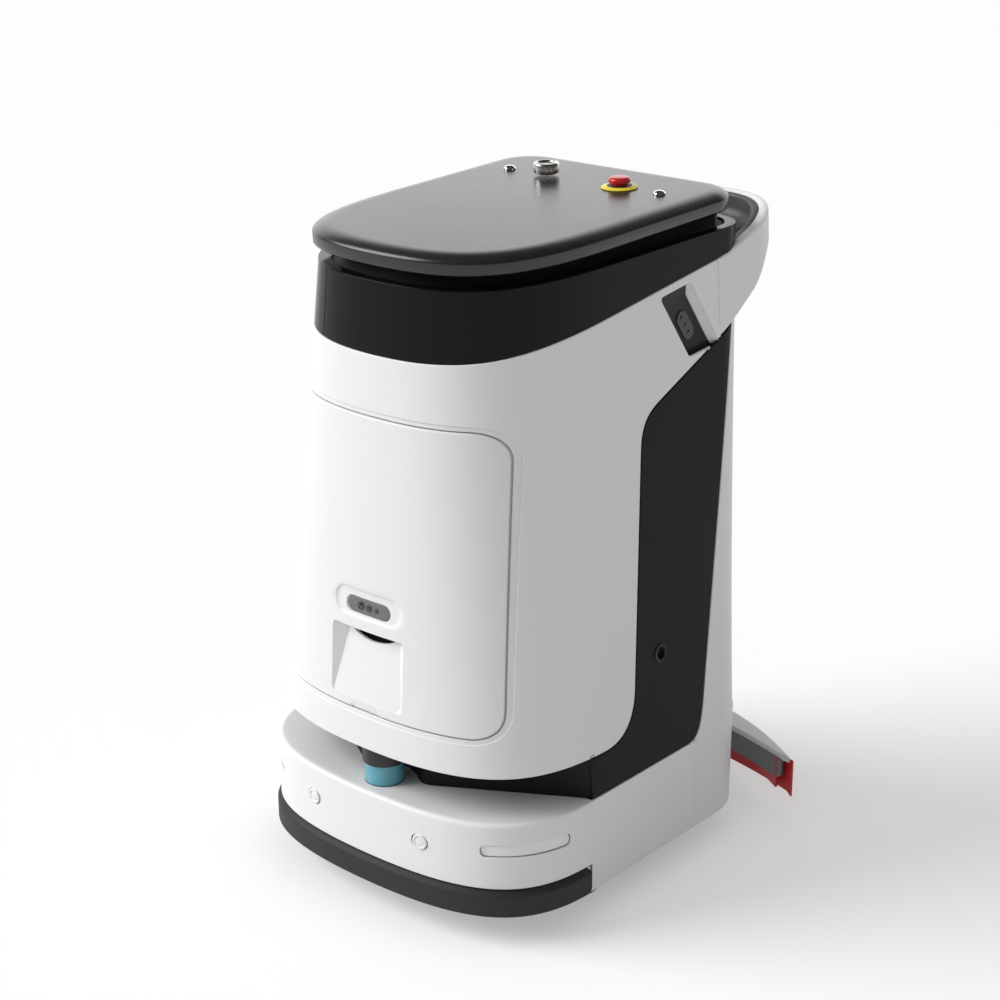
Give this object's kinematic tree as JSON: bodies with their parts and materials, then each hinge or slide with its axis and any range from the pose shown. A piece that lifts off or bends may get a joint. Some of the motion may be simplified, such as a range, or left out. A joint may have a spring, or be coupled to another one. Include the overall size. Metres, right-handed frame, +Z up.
{
  "type": "cleaning robot",
  "caption": "Autonomous floor-scrubbing robot: tapered white tower on a bumpered base, black lidded top, rear grab handle, front hatch, lidar, roller brush and rear squeegee",
  "frame": {"origin": "on the floor, under the middle of the robot's overall box", "axes": "+Z up, the front with bumper and hatch faces -Y, +X is to the right of a viewer who faces the front"},
  "size_m": [0.612, 0.6999, 0.9637],
  "materials": {
    "white_shell": "satin injection-moulded white plastic",
    "side_black": "fine-grained black plastic",
    "gloss_black": "polished black plastic",
    "lid_charcoal": "satin charcoal plastic",
    "dark_plastic": "matt black plastic",
    "grey_plastic": "dark grey satin plastic",
    "light_grey": "light grey satin plastic",
    "black_rubber": "soft black rubber",
    "red_rubber": "red wiping rubber",
    "tyre_rubber": "solid rubber",
    "steel": "brushed stainless steel",
    "chrome": "polished",
    "red_plastic": "polished red plastic",
    "yellow_plastic": "satin yellow plastic",
    "teal_window": "tinted sensor window",
    "lens": "tinted camera cover",
    "diffuser": "translucent white plastic",
    "frame_paint": "powder-coated sheet steel",
    "alloy": "machined alloy",
    "tank_plastic": "blow-moulded plastic",
    "brush_fibre": "nylon bristle rows"
  },
  "bodies": {
    "chassis": {"base_front_cover": "white_shell", "base_side_cover_left": "white_shell", "base_side_cover_right": "white_shell", "rear_cover": "white_shell", "rear_pillar": "white_shell", "front_shell": "white_shell", "handle": "white_shell", "sonar_left": "white_shell", "sonar_right": "white_shell", "side_panel_left": "side_black", "side_panel_right": "side_black", "lidar_bay": "side_black", "bezel": "gloss_black", "display_glass": "gloss_black", "top_frame": "dark_plastic", "lidar_cap": "dark_plastic", "lidar_base": "dark_plastic", "side_camera_left": "dark_plastic", "side_camera_right": "dark_plastic", "brush_deck": "dark_plastic", "controller": "dark_plastic", "battery": "dark_plastic", "suction_fan": "dark_plastic", "handle_liner": "grey_plastic", "lift_guide": "steel", "hatch_hinge": "steel", "lidar_window": "teal_window", "light_strip_left": "diffuser", "light_strip_right": "diffuser", "core_frame": "frame_paint", "base_frame": "frame_paint", "chassis_plate": "frame_paint", "drive_motor_left": "alloy", "drive_motor_right": "alloy", "clean_tank": "tank_plastic", "recovery_tank": "tank_plastic"},
    "lid_body": {"lid": "lid_charcoal", "stop_ring": "yellow_plastic", "lid_bolt_left": "chrome", "lid_bolt_right": "chrome"},
    "stop_body": {"stop_head": "red_plastic"},
    "power_body": {"power_button": "steel"},
    "hatch_body": {"hatch_panel": "white_shell", "hatch_arms": "frame_paint", "front_camera": "lens"},
    "bumper_body": {"bumper": "black_rubber"},
    "wheel_left_body": {"tyre_left": "tyre_rubber", "hub_left": "alloy"},
    "wheel_right_body": {"tyre_right": "tyre_rubber", "hub_right": "alloy"},
    "caster_left_body": {"caster_fork_left": "grey_plastic"},
    "caster_right_body": {"caster_fork_right": "grey_plastic"},
    "caster_left_wheel_body": {"caster_wheel_left": "black_rubber"},
    "caster_right_wheel_body": {"caster_wheel_right": "black_rubber"},
    "brush_body": {"brush_core": "alloy", "brush_bristles": "brush_fibre"},
    "squeegee_body": {"squeegee_plate": "light_grey", "squeegee_bar": "grey_plastic", "blade_front": "red_rubber", "blade_rear": "red_rubber"}
  },
  "joints": [
    {"name": "lid_hinge", "type": "hinge", "parent": "chassis", "child": "lid_body", "pos_m": [0, 0.2245, 0.91185], "axis": [-1, 0, 0], "range_deg": [0, 70]},
    {"name": "stop_press", "type": "slide", "parent": "lid_body", "child": "stop_body", "axis": [0, 0.0349, -0.9994], "range_m": [0, 0.004], "stiffness_N_per_m": 900, "springref_m": -0.002},
    {"name": "power_press", "type": "slide", "parent": "lid_body", "child": "power_body", "axis": [0, 0.0349, -0.9994], "range_m": [0, 0.003], "stiffness_N_per_m": 900, "springref_m": -0.002},
    {"name": "hatch_hinge_joint", "type": "hinge", "parent": "chassis", "child": "hatch_body", "pos_m": [0, -0.262, 0.806], "axis": [-1, 0, 0], "range_deg": [0, 60]},
    {"name": "bumper_push", "type": "slide", "parent": "chassis", "child": "bumper_body", "axis": [0, 1, 0], "range_m": [0, 0.004], "stiffness_N_per_m": 1500, "springref_m": -0.002},
    {"name": "brush_spin", "type": "hinge", "parent": "chassis", "child": "brush_body", "pos_m": [0, -0.07, 0.049], "axis": [1, 0, 0], "continuous": true},
    {"name": "squeegee_lift", "type": "slide", "parent": "chassis", "child": "squeegee_body", "axis": [0, 0, 1], "range_m": [-0.037, 0.008]},
    {"name": "wheel_left_spin", "type": "hinge", "parent": "chassis", "child": "wheel_left_body", "pos_m": [-0.196, 0.04, 0.075], "axis": [1, 0, 0], "continuous": true},
    {"name": "caster_left_swivel", "type": "hinge", "parent": "chassis", "child": "caster_left_body", "pos_m": [-0.214, -0.128, 0.062], "axis": [0, 0, 1], "continuous": true},
    {"name": "caster_left_roll", "type": "hinge", "parent": "caster_left_body", "child": "caster_left_wheel_body", "pos_m": [-0.214, -0.116, 0.023], "axis": [1, 0, 0], "continuous": true},
    {"name": "wheel_right_spin", "type": "hinge", "parent": "chassis", "child": "wheel_right_body", "pos_m": [0.196, 0.04, 0.075], "axis": [1, 0, 0], "continuous": true},
    {"name": "caster_right_swivel", "type": "hinge", "parent": "chassis", "child": "caster_right_body", "pos_m": [0.214, -0.128, 0.062], "axis": [0, 0, 1], "continuous": true},
    {"name": "caster_right_roll", "type": "hinge", "parent": "caster_right_body", "child": "caster_right_wheel_body", "pos_m": [0.214, -0.116, 0.023], "axis": [1, 0, 0], "continuous": true}
  ]
}
